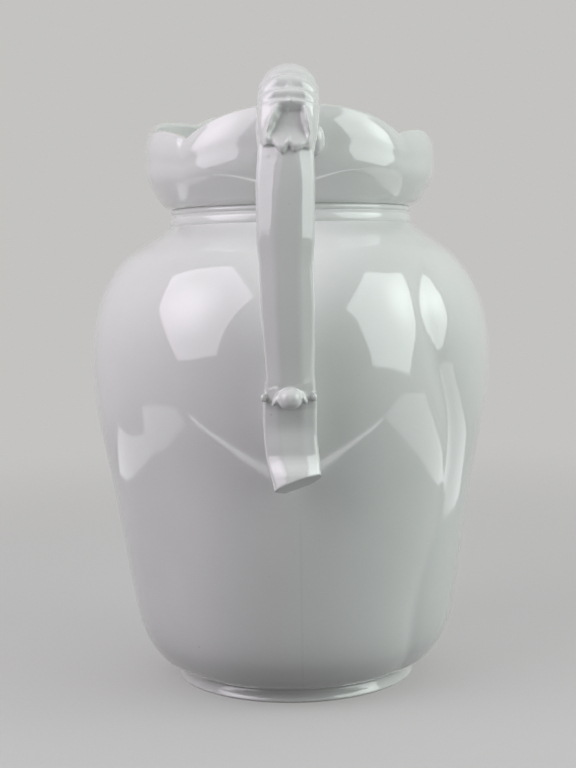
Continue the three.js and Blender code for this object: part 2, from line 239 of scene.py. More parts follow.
# Each softbox: its corners and its centre as directions, colour, strength, and the spot's
# direction, reach and gain
left_corners = ((-82.5, 54), (-65, 63), (-23.5, 39.5), (-36, 16), (-41, -1), (-57, -4),
                (-67, -4.4), (-77, 9.6), (-88, 20), (-93, 31), (-98, 39))
right_corners = ((68, 48.5), (80, 41), (93, 34), (94.5, 24), (90.5, 11), (82, 2), (75, -6),
                 (61, -4.7), (49, -4), (45, 9), (42, 20), (37, 26.5), (44, 33.5), (53, 40))
softboxes = (("softbox_left", left_corners, (-66, 28), (1.0, 0.945, 1.015, 1), 1.0,
              (-63, 27), 0.36, 0.7),
             ("softbox_right", right_corners, (74, 26), (0.925, 1.0, 0.965, 1), 1.2,
              (79, 23), 0.24, 0.55))
for name, corners, centre, tint, stronger, spot, spot_reach, spot_gain in softboxes:
    light_card(name, flat_points(corners, centre), tint, softbox_strength * stronger,
               softbox_centre + softbox_distance * pointing(*spot), spot_reach, spot_gain)

# The low ones lie just over the floor, drawn as (right, forward) of the pot's axis, each with
# its strength
low_height = 1 * mm
low_left = ((-0.58, 0.22), (-0.47, 0.01), (-0.69, 0.05), (-0.535, -0.2), (-0.386, -0.19),
            (-0.355, -0.08), (-0.376, -0.03), (-0.36, 0.16), (-0.364, 0.24))
low_right = ((0.44, -0.32), (0.91, -0.36), (1.02, -0.24), (1.15, 0.02), (0.8, 0.03), (0.53, 0.12),
             (0.42, 0.2), (0.34, 0.2), (0.335, 0.14), (0.355, -0.02), (0.372, -0.126),
             (0.394, -0.214))
low_strip = ((-0.43, -0.242), (-0.43, -0.255), (0.42, -0.322), (0.42, -0.309))
low_cards = (("low_panel_left", low_left, 1.25), ("low_panel_right", low_right, 1.3),
             ("low_strip", low_strip, 3.0))
for name, outline, strength in low_cards:
    points = [Vector((right, axis_y + forward, low_height)) for right, forward in outline]
    panel = light_card(name, points, (1, 1, 1, 1), strength)
    panel.visible_diffuse = panel.visible_shadow = False


# Body: a white clay pot with four broad lobes and a crease between each two, pressed in two
# halves, joined on a faint seam under the handle and glazed inside and out. Here its outline
# is turned about the axis, and the round pot is then drawn in at the creases.
belly_radius = -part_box("body_left")[0].x
foot_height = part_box("foot_ring")[1].z
shoulder_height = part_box("body_left")[1].z
body_height = shoulder_height - foot_height
foot_top_radius = 58.5 * mm
collar_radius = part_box("collar_band")[1].x
neck_radius = 59.2 * mm
wall = 5 * mm
base_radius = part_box("base_disc")[1].x
base_lap = 1 * mm
base_seat = 6 * mm
columns = 192
rows_per_span = 6

# Outlines as (share of the way out to the belly, share of the height)
lower_profile = ((0, 0), (0.207, 0.012), (0.383, 0.047), (0.523, 0.109), (0.653, 0.25),
                 (0.79, 0.42), (0.959, 0.592))
upper_profile = ((1, 0.716), (0.943, 0.8), (0.796, 0.87), (0.57, 0.926), (0.315, 0.961),
                 (0.105, 0.986), (0, 1))
neck_aside = 1.5 * mm
neck_lean = 20 * mm

# The creases: their angles in degrees, depth, and each one's rounding, groove and reach. They
# swing round the pot and fade along its height.
lobe_edges = (-48.2, 49.0, 131.8, 228.2, 311.8)
crease_depth = 0.036
crease_softness = (0.22, 0.045, 0.07, 0.07)
crease_groove = (0.0, 0.33, 0.25, 0.25)
groove_reach = (6, 11, 6.3, 6.3)
crease_swing = ((0, -1), (0.16, -3.5), (0.44, 7), (0.81, -8), (1, 0))
crease_fade = ((0, 0.8), (0.12, 1), (0.86, 1), (0.99, 0))

glaze_grey, glaze_pale = (0.70, 0.715, 0.70, 1), (0.74, 0.75, 0.74, 1)
thin_colour, thin_share = (0.60, 0.575, 0.52, 1), 0.8
pinhole_colour, pinhole_share = (0.09, 0.08, 0.07, 1), 0.6
pinhole_scale, pinhole_size = 66.0, (0.012, 0.03)
seam_colour, seam_share = (0.4, 0.41, 0.4, 1), 0.08
seam_aside = 3.2 * mm
seam_width = (0.1 * mm, 0.9 * mm)
seam_top = (85 * mm, 104 * mm)
seam_back = (-30 * mm, -20 * mm)
skin_depth = 0.35 * mm
peel_share, seam_bump = 0.03, 0.06
glaze_roughness, cloudy_roughness = 0.06, 0.05


def lerp(start, end, share):
    return start + (end - start) * share


def eased(share):
    share = min(max(share, 0), 1)
    return share * share * (3 - 2 * share)


def read(table, at):
    """The value at a place in a table of (place, value) rows, easing from row to row."""
    for (start, first), (end, second) in zip(table, table[1:]):
        if at < end:
            return lerp(first, second, eased((at - start) / (end - start)))
    return table[-1][1]


def smooth_line(points, per_span):
    """Points along a smooth line through the given ones."""
    points = [Vector(point) for point in points]
    last = len(points) - 1
    line = []
    for i in range(last * per_span + 1):
        span = min(i // per_span, last - 1)
        t = i / per_span - span
        before, here, there, after = (points[min(max(span + k, 0), last)] for k in (-1, 0, 1, 2))
        leaving, arriving = (there - before) / 2, (after - here) / 2
        line.append((2 * here - 2 * there + leaving + arriving) * t ** 3
                    + (3 * there - 3 * here - 2 * leaving - arriving) * t ** 2 + leaving * t + here)
    return line


def offset_line(line, distance):
    """The same line moved sideways, to its left."""
    moved = []
    for i, point in enumerate(line):
        along = (line[min(i + 1, len(line) - 1)] - line[max(i - 1, 0)]).normalized()
        moved.append(point + distance * Vector((-along.y, along.x)))
    return moved


def turned_piece(outline, closed=True, thin_at=lambda point: 0):
    """An outline of (radius, height) points, turned once round the pot's axis.

    thin_at says how thin its glaze is at a point, from 0 to 1.
    """
    made = bmesh.new()
    thin_glaze = made.verts.layers.float.new("thin_glaze")
    corners = [made.verts.new((0, -radius, height)) for radius, height in outline]
    pairs = zip(corners, corners[1:] + corners[:1]) if closed else zip(corners, corners[1:])
    edges = [made.edges.new(pair) for pair in pairs]
    bmesh.ops.spin(made, geom=corners + edges, cent=(0, 0, 0), axis=(0, 0, 1), dvec=(0, 0, 0),
                   angle=2 * math.pi, steps=columns, use_merge=True, use_duplicate=False)
    bmesh.ops.remove_doubles(made, verts=made.verts[:], dist=0.001 * mm)
    bmesh.ops.recalc_face_normals(made, faces=made.faces[:])
    for vert in made.verts:
        vert[thin_glaze] = thin_at(vert.co)
    return made


def lobe_of(point, edges):
    """A point's lobe (0 back, 1 right, 2 front, 3 left), its place across it, and its angle."""
    turns = (math.atan2(point.x, -point.y) / (2 * math.pi)) % 1 * 4
    lobe = min(int(turns), 3)
    share = turns - lobe
    return lobe, 2 * share - 1, lerp(edges[lobe], edges[lobe + 1], share)


def drawn_in(lobe, across):
    """How far a lobe is drawn in: as a parabola, with a rounded groove at the crease."""
    crease = (lobe + (across > 0)) % 4
    soft, groove, reach = crease_softness[crease], crease_groove[crease], groove_reach[crease]
    out = abs(across)
    over = max(0, out - 1 + soft)
    rounded = over ** 2 / soft * (1 + reach * groove / 2)
    return out ** 2 + groove * math.exp(-reach * (1 - out)) - rounded


def to_lobes(point):
    """Where a point of the round body goes on the lobed one, which leans to meet its neck."""
    share = (point.z - foot_height) / body_height
    lobe, across, degrees = lobe_of(point, lobe_edges)
    drawn = crease_depth * read(crease_fade, share) * drawn_in(lobe, across)
    radius = math.hypot(point.x, point.y) * (1 - drawn)
    angle = math.radians(degrees + read(crease_swing, share))
    lean = neck_aside * eased(1 - (shoulder_height - point.z) / neck_lean)
    return Vector((radius * math.sin(angle) + lean, -radius * math.cos(angle), point.z))


def finished(made, name, finish, *nodes):
    """Puts a piece of the pitcher in its place, to stand for these nodes of the model."""
    for vert in made.verts:
        vert.co.y += axis_y
    piece = bpy.data.objects.new(name, bpy.data.meshes.new(name))
    made.to_mesh(piece.data)
    made.free()
    bpy.context.scene.collection.objects.link(piece)
    piece.data.shade_smooth()
    piece.data.materials.append(finish.owner)
    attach(piece, "root")
    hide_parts(*nodes)


ironstone = Finish(bpy.data.materials.new("ironstone_glaze"))
place = ironstone.node("ShaderNodeTexCoord", out="Object")
clouds = ironstone.node("ShaderNodeTexNoise", {}, {"Vector": place, "Scale": 16.0, "Detail": 3.0})
tone = ironstone.mixed(ironstone.ease(clouds, 0.3, 0.7), glaze_grey, glaze_pale)
thin = ironstone.node("ShaderNodeAttribute", {"attribute_name": "thin_glaze"}, out="Fac")
tone = ironstone.mixed(thin * thin_share, tone, thin_colour)
# Pinholes: a few dark specks of iron that came through the glaze
pits = ironstone.node("ShaderNodeTexVoronoi", {}, {"Vector": place, "Scale": pinhole_scale},
                      out="Distance")
pinhole = 1 - ironstone.ease(pits, *pinhole_size)
tone = ironstone.mixed(pinhole * pinhole_share, tone, pinhole_colour)
# The mould's seam, wiped almost away: a faint upright line under the handle
across, along, height = ironstone.parts(place)
off_seam = ironstone.node("ShaderNodeMath", {"operation": "ABSOLUTE"}, {0: across - seam_aside})
seam = (1 - ironstone.ease(off_seam, *seam_width)) * (1 - ironstone.ease(height, *seam_top))
seam = seam * (1 - ironstone.ease(along, *seam_back))
tone = ironstone.mixed(seam * seam_share, tone, seam_colour)
ripple = ironstone.node("ShaderNodeTexNoise", {}, {"Vector": place, "Scale": 28.0, "Detail": 1.0})
peel = ironstone.node("ShaderNodeTexNoise", {}, {"Vector": place, "Scale": 260.0, "Detail": 1.0})
relief = ripple + peel_share * peel + seam_bump * seam
skin = ironstone.node("ShaderNodeBump", {}, {"Strength": 1.0, "Distance": skin_depth,
                                             "Height": relief}, out="Normal")
glaze = ironstone.node("ShaderNodeBsdfPrincipled", {}, {
    "Base Color": tone,
    "Roughness": glaze_roughness + cloudy_roughness * ironstone.ease(clouds, 0.35, 0.75),
    "IOR": 1.5,
    "Coat Weight": 1.0,
    "Coat Roughness": 0.05,
    "Coat IOR": 1.45,
    "Normal": skin,
})
ironstone.node("ShaderNodeOutputMaterial", {}, {"Surface": glaze})

profile = smooth_line([(lerp(foot_top_radius, belly_radius, out), foot_height + up * body_height)
                       for out, up in lower_profile]
                      + [(lerp(collar_radius, belly_radius, out), foot_height + up * body_height)
                         for out, up in upper_profile], rows_per_span)
inside = offset_line(profile, wall)[rows_per_span:-2]
body = turned_piece([tuple(point) for point in profile]
                    + [(neck_radius - wall, shoulder_height)]
                    + [tuple(point) for point in reversed(inside)]
                    + [(base_radius - base_lap, foot_height + base_seat),
                       (base_radius - base_lap, foot_height)])
for vert in body.verts:
    vert.co = to_lobes(vert.co)
finished(body, "body", ironstone, "body_left", "body_right")


# Base: the disc that closes the bottom, slightly domed, its upper side run into the wall by
# the glaze and its underside glazed too. Its outline is in mm over the foot ring, the points
# at its edge counted out from its radius.
dome_below = ((0, 1.2), (20, 1), (40, 0.5))
dome_edge = ((-2, 0.2), (2, 0.2), (4, 4), (2, 7), (-3, 5.2))
dome_above = ((40, 4.7), (20, 4.8), (0, 5))
base_outline = ([(out * mm, foot_height + up * mm) for out, up in dome_below]
                + [(base_radius + out * mm, foot_height + up * mm) for out, up in dome_edge]
                + [(out * mm, foot_height + up * mm) for out, up in dome_above])
base = turned_piece([tuple(point) for point in smooth_line(base_outline, per_span=4)], closed=False)
finished(base, "base", ironstone, "base_disc")


# Foot ring: a turned rim luted under the base, hollow under its ledge and rounded where it
# meets the table. The glaze is wiped off the narrow face that it rests on.
foot_outline = ((50, 5.9), (50, 1.6), (51, 0.35), (53.2, 0), (58.6, 0), (60.7, 0.1), (61.45, 0.9),
                (60.9, 2.1), (59.9, 3.6), (59.1, 5.2), (59.25, 6.0), (59.3, 6.5), (58.4, 7.0),
                (55, 7.2), (51, 6.9))
foot_crease = 0.005
foot_swing = -1
grit_dark, grit_pale = (0.50, 0.46, 0.40, 1), (0.66, 0.63, 0.57, 1)
foot_grey, foot_pale = (0.69, 0.70, 0.685, 1), (0.73, 0.74, 0.73, 1)
wiped_height = (0.45 * mm, 0.8 * mm)
wiped_waver = 0.6 * mm
foot_skin_depth = 0.25 * mm

foot_finish = Finish(bpy.data.materials.new("foot_glaze"))
place = foot_finish.node("ShaderNodeTexCoord", out="Object")
height = foot_finish.node("ShaderNodeSeparateXYZ", {}, {0: place}, out="Z")
grain = foot_finish.node("ShaderNodeTexNoise", {}, {"Vector": place, "Scale": 420.0,
                                                    "Detail": 4.0})
patches = foot_finish.node("ShaderNodeTexNoise", {}, {"Vector": place, "Scale": 60.0,
                                                      "Detail": 3.0})
bare = 1 - foot_finish.ease(height + wiped_waver * patches, *wiped_height)
grit = foot_finish.mixed(foot_finish.ease(grain, 0.4, 0.65), grit_dark, grit_pale)
glazed = foot_finish.mixed(foot_finish.ease(patches, 0.3, 0.7), foot_grey, foot_pale)
foot_skin = foot_finish.node("ShaderNodeBump", {}, {"Strength": 1.0, "Distance": foot_skin_depth,
                                                    "Height": patches + bare * grain},
                             out="Normal")
foot_glaze = foot_finish.node("ShaderNodeBsdfPrincipled", {}, {
    "Base Color": foot_finish.mixed(bare, glazed, grit),
    "Roughness": 0.08 + 0.6 * bare,
    "IOR": 1.5,
    "Coat Weight": 1 - bare,
    "Coat Roughness": 0.05,
    "Coat IOR": 1.45,
    "Normal": foot_skin,
})
foot_finish.node("ShaderNodeOutputMaterial", {}, {"Surface": foot_glaze})

foot_line = smooth_line(foot_outline + foot_outline[:1], per_span=4)[:-1]
foot = turned_piece([tuple(point * mm) for point in foot_line])
for vert in foot.verts:
    lobe, across, degrees = lobe_of(vert.co, lobe_edges)
    radius = math.hypot(vert.co.x, vert.co.y) * (1 - foot_crease * drawn_in(lobe, across))
    angle = math.radians(degrees + foot_swing)
    vert.co = (radius * math.sin(angle), -radius * math.cos(angle), max(vert.co.z, 0))
finished(foot, "foot", foot_finish, "foot_ring")


# Collar: a turned band that hides the joint of the neck and the shoulder, a broad roll with
# a fine reed above it. It lies on the shoulder and tucks in under the lip.
collar_outline = ((59.4, 231.2), (61.4, 231.6), (62.15, 232.8), (62.2, 234.4), (61.9, 235.9),
                  (61.05, 237.1), (60.95, 237.6), (61.5, 238.3), (61.65, 239.0), (61.4, 239.8),
                  (60.7, 240.5), (59.3, 240.7))
collar_back = (58 * mm, 236 * mm)
collar_line = smooth_line(collar_outline, per_span=4)
collar = turned_piece([tuple(point * mm) for point in collar_line] + [collar_back])
bmesh.ops.translate(collar, vec=(neck_aside, 0, 0), verts=collar.verts)
finished(collar, "collar", ironstone, "collar_band")


# Lip: the flared neck, pressed with the body's lobes and cut at the rim to an arch over the
# handle, a swell at each side and the spout in front. It stands on the shoulder inside the
# collar. Pairs of heights are its left and its right side's.
lip_foot = 240.5 * mm
lip_foot_radius = 61.5 * mm
lip_radius = 73 * mm
back_rise = 45.5 * mm
back_notch_rise = (32.3 * mm, 33.5 * mm)
front_notch_rise = (48.7 * mm, 40 * mm)
spout_rise = 57.5 * mm
back_arch, side_arch, spout_arch = 2.3, 2.6, 3
side_swell = (4 * mm, 3.4 * mm)
side_dip = (3.8 * mm, 3.2 * mm)
dip_forward, dip_width = 0.4, 0.17
spout_reach = 24 * mm
rim_wall = 4 * mm
rim_round = 2.2 * mm
rim_steps = 8
thin_below, thin_span = 0.9 * mm, 0.7 * mm
lip_crease = 0.02
lip_profile = ((0, 0), (0.33, 0.054), (0.57, 0.153), (0.839, 0.3), (0.975, 0.4), (1.035, 0.5),
               (1.05, 0.62), (1.07, 0.76), (1.01, 0.9), (0.9, 1))
lip_edges = (-44.5, 49.0, 131.8, 228.2, 315.5)


def rim_rise(lobe, across):
    """How high the rim stands above the lip's foot."""
    out = abs(across)
    right = (across > 0, True, across < 0, False)[lobe]
    if lobe == 0:
        return lerp(back_rise, back_notch_rise[right], out ** back_arch)
    if lobe == 2:
        return lerp(spout_rise, front_notch_rise[right], out ** spout_arch)
    forward = (1 + across) / 2 if right else (1 - across) / 2
    dip = side_dip[right] * math.exp(-((forward - dip_forward) / dip_width) ** 2)
    swell = side_swell[right] * (1 - out ** side_arch) - dip
    return lerp(back_notch_rise[right], front_notch_rise[right], forward) + swell


def to_lip(point):
    """Where a point of the round lip goes on the lobed and scalloped one."""
    up = max(0, (point.z - lip_foot) / back_rise)
    lobe, across, degrees = lobe_of(point, lip_edges)
    radius = math.hypot(point.x, point.y) * (1 - lip_crease * up ** 2 * drawn_in(lobe, across))
    if lobe == 2:
        radius += spout_reach * math.cos(across * math.pi / 2) ** 2 * up ** 2
    angle = math.radians(degrees)
    height = lip_foot + rim_rise(lobe, across) * up if up else point.z
    return Vector((radius * math.sin(angle) + neck_aside, -radius * math.cos(angle), height))


lip_outside = [Vector((lerp(lip_foot_radius, lip_radius, out),
                       lip_foot + up * (back_rise - rim_round)))
               for out, up in smooth_line(lip_profile, rows_per_span)]
lip_inside = [point - Vector((lerp(wall, rim_wall, (point.y - lip_foot) / back_rise), 0))
              for point in lip_outside]
rim_middle = (lip_outside[-1] + lip_inside[-1]) / 2
rim_angles = [math.pi * i / rim_steps for i in range(1, rim_steps)]
rim = [rim_middle + Vector((math.cos(angle) * rim_wall / 2, math.sin(angle) * rim_round))
       for angle in rim_angles]
lip = turned_piece([(neck_radius, shoulder_height), (neck_radius, lip_foot)]
                   + [tuple(point) for point in lip_outside + rim + lip_inside[::-1]]
                   + [(neck_radius - wall, shoulder_height)],
                   thin_at=lambda point: eased((point.z - lip_foot - back_rise + thin_below)
                                               / thin_span))
for vert in lip.verts:
    vert.co = to_lip(vert.co)
finished(lip, "lip", ironstone, "lip_left", "lip_right")


# Handle: pressed in one with its knop and tail, from a faceted strap, with a leaf sprigged on
# the crown, and luted to the lip and the belly by flared roots. The glaze joins its parts into
# one soft surface.
tail_end = 112 * mm
crown_height = 290.2 * mm
handle_reach = 119 * mm
half_width = 11.9 * mm
half_thickness = 7.2 * mm
corner_round = 1.6 * mm
handle_voxel = 0.5 * mm
crown_path = ((-0.05, 0.85, 0.12), (0.11, 0.925, 0.12), (0.3, 0.98, 0.12), (0.54, 1, 0.12),
              (0.79, 0.975, 0.1), (0.95, 0.91, 0.06))
leg_path = ((1.026, 0.82, -0.03), (1.026, 0.7, -0.08), (0.922, 0.56, -0.09), (0.791, 0.42, -0.06),
            (0.647, 0.31, -0.02), (0.543, 0.22, -0.04), (0.477, 0.14, -0.05), (0.477, 0.068, 0.06),
            (0.66, 0, 0.24))
handle_section = ((1, -0.4), (1, 0.45), (0.44, 1), (-0.44, 1), (-1, 0.45), (-1, -0.4),
                  (-0.62, -1), (0.62, -1))
handle_widths = ((0, 1.02), (0.34, 1), (0.42, 1.065), (0.51, 1.055), (0.57, 0.985), (0.63, 0.99),
                 (0.7, 0.95), (0.77, 0.9), (0.83, 0.995), (0.92, 0.99), (1, 0.92))

# Each part is modelled straight, as (aside, out, run along the handle), then bent to this line
handle_line = smooth_line([(aside * half_width, -lerp(inner, handle_reach, out),
                            lerp(tail_end, crown_height, up))
                           for path, inner in ((crown_path, lip_radius), (leg_path, belly_radius))
                           for out, up, aside in path], per_span=24)
runs = [0]
for here, there in zip(handle_line, handle_line[1:]):
    runs.append(runs[-1] + (there - here).length)
handle_run = runs[-1]


def on_handle(aside, out, run):
    """A point at a run along the handle, moved aside and out from its middle line."""
    i = min(max(bisect.bisect(runs, run) - 1, 0), len(runs) - 2)
    share = (run - runs[i]) / (runs[i + 1] - runs[i])
    before = (handle_line[i + 1] - handle_line[max(i - 1, 0)]).normalized()
    after = (handle_line[min(i + 2, len(runs) - 1)] - handle_line[i]).normalized()
    outward = before.lerp(after, min(max(share, 0), 1)).cross(Vector((1, 0, 0))).normalized()
    middle = handle_line[i].lerp(handle_line[i + 1], share)
    return middle + Vector((aside, 0, 0)) + out * outward


def run_at_height(height):
    """How far along the handle its outer leg comes down to a height."""
    crown = max(range(len(runs)), key=lambda i: handle_line[i].z)
    return next(run for run, point in zip(runs[crown:], handle_line[crown:]) if point.z < height)


def bell(at, middle, width):
    return math.exp(-((at - middle) / width) ** 2)


def bent(made):
    for vert in made.verts:
        vert.co = on_handle(*vert.co)
    bmesh.ops.recalc_face_normals(made, faces=made.faces[:])
    return made


def added(made, other):
    """Puts one part's mesh in with another's."""
    spare = bpy.data.meshes.new("spare")
    other.to_mesh(spare)
    made.from_mesh(spare)
    other.free()
    bpy.data.meshes.remove(spare)


def through_modifiers(made, *modifiers):
    """The mesh after these modifiers, each a (type, settings) pair."""
    spare = bpy.data.objects.new("spare", bpy.data.meshes.new("spare"))
    made.to_mesh(spare.data)
    bpy.context.scene.collection.objects.link(spare)
    for kind, settings in modifiers:
        modifier = spare.modifiers.new(kind, kind)
        for name, value in settings.items():
            setattr(modifier, name, value)
    seen_as = spare.evaluated_get(bpy.context.evaluated_depsgraph_get())
    shaped = bpy.data.meshes.new_from_object(seen_as)
    made.clear()
    made.from_mesh(shaped)
    bpy.data.objects.remove(spare)
    bpy.data.meshes.remove(shaped)
    return made


# Core of the pot, a little inside its skin: it trims the roots where they run into the walls
core_depth = 2 * mm
core = turned_piece([(0, foot_height)]
                    + [tuple(point) for point in offset_line(profile, core_depth)]
                    + [tuple(point - Vector((core_depth, 0))) for point in lip_outside]
                    + [(0, lip_foot + back_rise - rim_round)], closed=False)
for vert in core.verts:
    vert.co = to_lip(vert.co) if vert.co.z > lip_foot else to_lobes(vert.co)
core_piece = bpy.data.objects.new("core", bpy.data.meshes.new("core"))
core.to_mesh(core_piece.data)
core.free()
bpy.context.scene.collection.objects.link(core_piece)


def trimmed(made):
    return through_modifiers(made, ("BOOLEAN", {"operation": "DIFFERENCE", "solver": "EXACT",
                                                "object": core_piece}))


def strap_end(made):
    """The strap's eight-sided section with its corners rounded, as a part's first face."""
    made.faces.new([made.verts.new((aside * half_width, out * half_thickness, 0))
                    for aside, out in handle_section])
    bmesh.ops.bevel(made, geom=made.verts[:], offset=corner_round, affect="VERTICES", segments=4,
                    profile=0.5, material=-1)


def drawn_out(made, length, cuts):
    """Draws a part's end face out to a length, in so many cuts."""
    grown = bmesh.ops.extrude_face_region(made, geom=made.faces[:])
    far = [v for v in grown["geom"] if isinstance(v, bmesh.types.BMVert)]
    bmesh.ops.translate(made, vec=(0, 0, length), verts=far)
    long_edges = [e for e in made.edges if abs(e.verts[0].co.z - e.verts[1].co.z) > length / 2]
    bmesh.ops.subdivide_edges(made, edges=long_edges, cuts=cuts, use_grid_fill=True)


# The strap: its middle face narrows where it comes out from under the leaf, more on the left,
# and sinks under the leaf's channel. Past the knop its front is hollowed, then kicks out to the
# tail's end. The tables go by mm along the handle, the last one by mm past the knop.
face_edge = handle_section[2][0]
face_left = ((0, 0.4), (80, 0.08), (84.4, 0.13), (88.3, 0.18), (92.6, 0.22), (100, 0.32),
             (114.6, 0.39), (180, 0.42))
face_right = ((0, 0.4), (80, 0.3), (84.4, 0.36), (88.3, 0.43), (92.6, 0.49), (114.6, 0.46),
              (180, 0.44))
sunk_depth = 3.2 * mm
sunk_start, sunk_end = (50 * mm, 8 * mm), (76 * mm, 5 * mm)
sunk_out, sunk_soft = 0.45, 0.4
tail_front = ((-8, 0), (0, -1.4), (6, -3.8), (14, -4.6), (25, -3.4), (38, 0.8))
front_from, front_soft, side_share = 0.4, 0.85, 0.4
knop_height = 155 * mm
knop_run = run_at_height(knop_height)
strap = bmesh.new()
strap_end(strap)
drawn_out(strap, handle_run, cuts=110)
for vert in strap.verts:
    aside, out, run = vert.co
    share = abs(aside) / half_width
    if out > 0:
        face = read(face_left if aside < 0 else face_right, run / mm)
        if share > face_edge:
            share = lerp(face, 1, (share - face_edge) / (1 - face_edge))
        else:
            share = share * face / face_edge
        starts, ends = (eased((run - at) / span) for at, span in (sunk_start, sunk_end))
        out -= sunk_depth * (starts - ends) * eased((out / half_thickness - sunk_out) / sunk_soft)
    hollowed = min(max((vert.co.y / half_thickness + front_from) / front_soft, 0), 1)
    hollowed *= 1 - side_share * (aside / half_width) ** 2
    out += read(tail_front, (run - knop_run) / mm) * mm * hollowed
    vert.co.x = math.copysign(share, aside) * half_width * read(handle_widths, run / handle_run)
    vert.co.y = out
handle = trimmed(bent(strap))

# The tail's free end is cut off askew and undercut
tail_cut_height = 116.3 * mm
tail_cut_aside, tail_cut_out = 1.1 * mm, 0.8 * mm
tail_point = on_handle(tail_cut_aside, half_thickness + tail_cut_out,
                       run_at_height(tail_cut_height))
tail_skew = math.radians(21)
tail_undercut = math.radians(22)
cut_normal = Vector((math.sin(tail_skew) * math.cos(tail_undercut), -math.sin(tail_undercut),
                     -math.cos(tail_skew) * math.cos(tail_undercut)))
bmesh.ops.bisect_plane(handle, geom=handle.verts[:] + handle.edges[:] + handle.faces[:],
                       plane_co=tail_point, plane_no=cut_normal, clear_outer=True)
bmesh.ops.holes_fill(handle, edges=[e for e in handle.edges if e.is_boundary], sides=0)

# The leaf: ridges and lobes over the crown, then a scooped channel between two ribs that ends
# in two rounded tips. Its modelling is in mm, aside and as the run along the handle.
leaf_start = 20 * mm
leaf_half_width = 14.2 * mm
leaf_columns = 90
leaf_rows = 150
leaf_wrap = math.radians(104)
leaf_middle = -2.5 * mm
leaf_body = 3.2 * mm
leaf_sink = 0.5 * mm
leaf_widths = ((0, 0.86), (0.35, 0.92), (0.62, 0.96), (0.85, 0.94), (1, 0.87))
leaf_thickness = ((0, -1.0), (0.12, 1.6), (0.5, 2.6), (0.8, 2.5), (0.95, 1.9), (1, 1.2))
leaf_squareness, square_from, square_soft = 0.74, 0.55, 0.3
flank_thinner, flank_from, flank_soft = 2.4 * mm, 0.7, 0.3
flank_left, flank_right = (-7, 3), (8.8, 2.6)
tip_roll, roll_share, roll_width = 0.5 * mm, 0.965, 0.02
relief_fade = 0.6
leaf_aside = 1.2
# Ridges across the leaf (height, run, width), with a dip in their middle and lower at the sides
leaf_ridges = ((0.9, 56, 1.6), (1.1, 61.2, 1.3), (0.9, 64.6, 0.8), (-0.8, 52.8, 0.8),
               (-0.7, 58.7, 0.8), (-0.6, 63.3, 0.5))
ridge_dip, dip_aside, dip_reach = 0.15, 0.4, 1.6
ridge_fade, fade_from, fade_reach = 0.45, 8.5, 3
# Lobes and beads on them (height, aside, width, run, length)
leaf_lobes = ((0.5, -6.2, 2.2, 55.8, 1.7), (0.4, 4.6, 1.6, 57, 1.4), (0.4, -7.4, 1.6, 61.6, 1.4),
              (0.5, 5.8, 2, 60.8, 1.4), (0.8, -0.6, 1, 58.6, 1.1), (0.9, 0.3, 0.8, 64.5, 0.9),
              (0.9, -0.1, 0.5, 79, 1.6))
# How far down the leaf reaches (aside, run): two rounded tips, with a notch between
leaf_ends = ((-6.1, 79.8), (-1.1, 83.8), (3.5, 83), (8.5, 81.4))
notch_depth, notch_width = 3, 1.4
# The channel and the ribs beside it
left_rib = ((65, -2.9), (67.6, -4.9), (71.8, -6.7), (75.4, -8.1), (80, -7.9))
right_rib = ((65, 6.8), (67.6, 7.3), (70.4, 7.8), (73.2, 8.9), (75.8, 9.6), (80, 9.8))
scoop_depth, scoop_edge = 3.4, 1.6
scoop_start, scoop_end = (65.2, 2), (71, 11)
rib_height, rib_off, rib_width = 1.7, 0.6, 0.9
rib_start, rib_end = (65, 2), (80, 2)


def between(run, start, end):
    """1 between two places along the handle, each given with the length that it eases over."""
    return eased((run - start[0]) / start[1]) * (1 - eased((run - end[0]) / end[1]))


def leaf_relief(aside, run):
    """The height of the leaf's modelling at a place on it, all in mm."""
    side = aside - leaf_aside
    ridges = sum(rise * bell(run, at, width) for rise, at, width in leaf_ridges)
    ridges *= 1 - ridge_dip * bell(side, dip_aside, dip_reach)
    ridges *= 1 - ridge_fade * eased((abs(side) - fade_from) / fade_reach)
    lobes = sum(rise * bell(side, off, wide) * bell(run, at, length)
                for rise, off, wide, at, length in leaf_lobes)
    left, right = read(left_rib, run), read(right_rib, run)
    inside = eased((aside - left) / scoop_edge) * eased((right - aside) / scoop_edge)
    scoop = scoop_depth * between(run, scoop_start, scoop_end) * inside
    ribs = bell(aside, left - rib_off, rib_width) + bell(aside, right + rib_off, rib_width)
    return ridges + lobes - scoop + rib_height * ribs * between(run, rib_start, rib_end)


def leaf_tip(aside):
    """Where the leaf ends at a place across it, in mm along the handle."""
    return read(leaf_ends, aside) - notch_depth * bell(aside, leaf_aside, notch_width)


def squarer(value, power):
    """A sine or cosine made squarer by a power, with its sign kept."""
    return math.copysign(abs(value) ** power, value)


